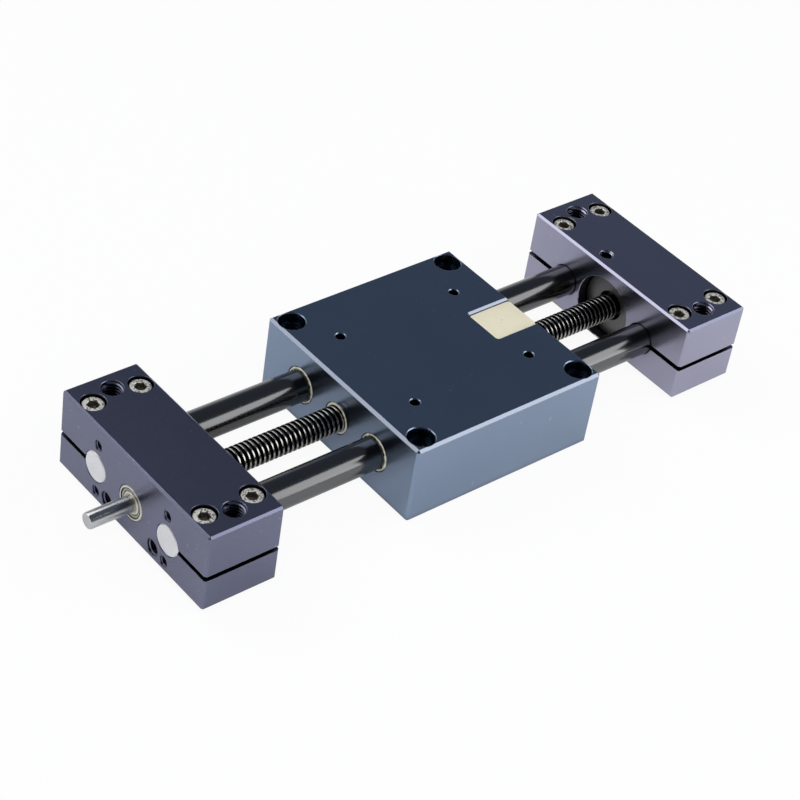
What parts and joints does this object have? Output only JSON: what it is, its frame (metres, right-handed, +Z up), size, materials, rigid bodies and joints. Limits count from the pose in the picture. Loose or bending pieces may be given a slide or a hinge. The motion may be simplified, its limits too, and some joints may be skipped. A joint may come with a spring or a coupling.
{
  "type": "linear positioning table",
  "caption": "Lead screw table: a square carriage slides on twin guide shafts between split end blocks, moved by a trapezoidal screw with a bare drive journal.",
  "frame": {"origin": "middle of the carriage's load face, the face that the table is stored on", "axes": "+X along the lead screw from the drive journal towards the blind end block, +Z up through the carriage, away from its load face"},
  "size_m": [0.2621, 0.085, 0.034],
  "materials": {
    "block_anodise": "satin anodised, clear with a violet cast",
    "carriage_anodise": "satin anodised, clear with a blue cast",
    "shaft_anodise": "hard anodised, dark, with bare ends",
    "cover_anodise": "dark anodised",
    "screw_steel": "dark rolled steel",
    "stainless_steel": "plain stainless steel",
    "bearing_steel": "ground bearing steel",
    "shield_steel": "pressed steel",
    "spring_steel": "dark spring steel",
    "liner_plastic": "moulded sliding bearing plastic",
    "nut_plastic": "moulded sliding bearing plastic"
  },
  "bodies": {
    "base": {"drive_end_block": "block_anodise", "support_end_block": "block_anodise", "guide_shaft_left": "shaft_anodise", "guide_shaft_right": "shaft_anodise", "drive_end_clamp_screws": "stainless_steel", "support_end_clamp_screws": "stainless_steel", "bearing_cover_ring": "cover_anodise", "cover_lock_screw": "stainless_steel", "drive_bearing_outer_ring": "bearing_steel", "drive_bearing_shields": "shield_steel", "support_bearing_outer_ring": "bearing_steel", "support_bearing_shields": "shield_steel"},
    "carriage": {"carriage_block": "carriage_anodise", "screw_guide_liner": "liner_plastic", "lead_screw_nut": "nut_plastic", "nut_screws": "stainless_steel", "shaft_liner_left_drive": "liner_plastic", "shaft_liner_left_support": "liner_plastic", "shaft_liner_right_drive": "liner_plastic", "shaft_liner_right_support": "liner_plastic"},
    "screw": {"lead_screw": "screw_steel", "screw_circlip": "spring_steel", "drive_bearing_inner_ring": "bearing_steel", "support_bearing_inner_ring": "bearing_steel"},
    "drive_ball_cage": {"drive_bearing_balls": "bearing_steel", "drive_bearing_cage": "spring_steel"},
    "support_ball_cage": {"support_bearing_balls": "bearing_steel", "support_bearing_cage": "spring_steel"}
  },
  "joints": [
    {"name": "screw_spin", "type": "hinge", "parent": "base", "child": "screw", "pos_m": [0, 0, 0.016], "axis": [1, 0, 0], "range_deg": [-7835, 10085]},
    {"name": "carriage_slide", "type": "slide", "parent": "base", "child": "carriage", "axis": [1, 0, 0], "range_m": [-0.056, 0.0435]},
    {"name": "drive_cage_spin", "type": "hinge", "parent": "base", "child": "drive_ball_cage", "pos_m": [-0.12625, 0, 0.016], "axis": [1, 0, 0], "range_deg": [-3100, 3990]},
    {"name": "support_cage_spin", "type": "hinge", "parent": "base", "child": "support_ball_cage", "pos_m": [0.09855, 0, 0.016], "axis": [1, 0, 0], "range_deg": [-2850, 3670]}
  ],
  "couplings": [
    {"joint": "screw_spin", "follows": "carriage_slide", "rad_per_m": -3141.6},
    {"joint": "drive_cage_spin", "follows": "carriage_slide", "rad_per_m": -1240.1},
    {"joint": "support_cage_spin", "follows": "carriage_slide", "rad_per_m": -1140.7}
  ]
}
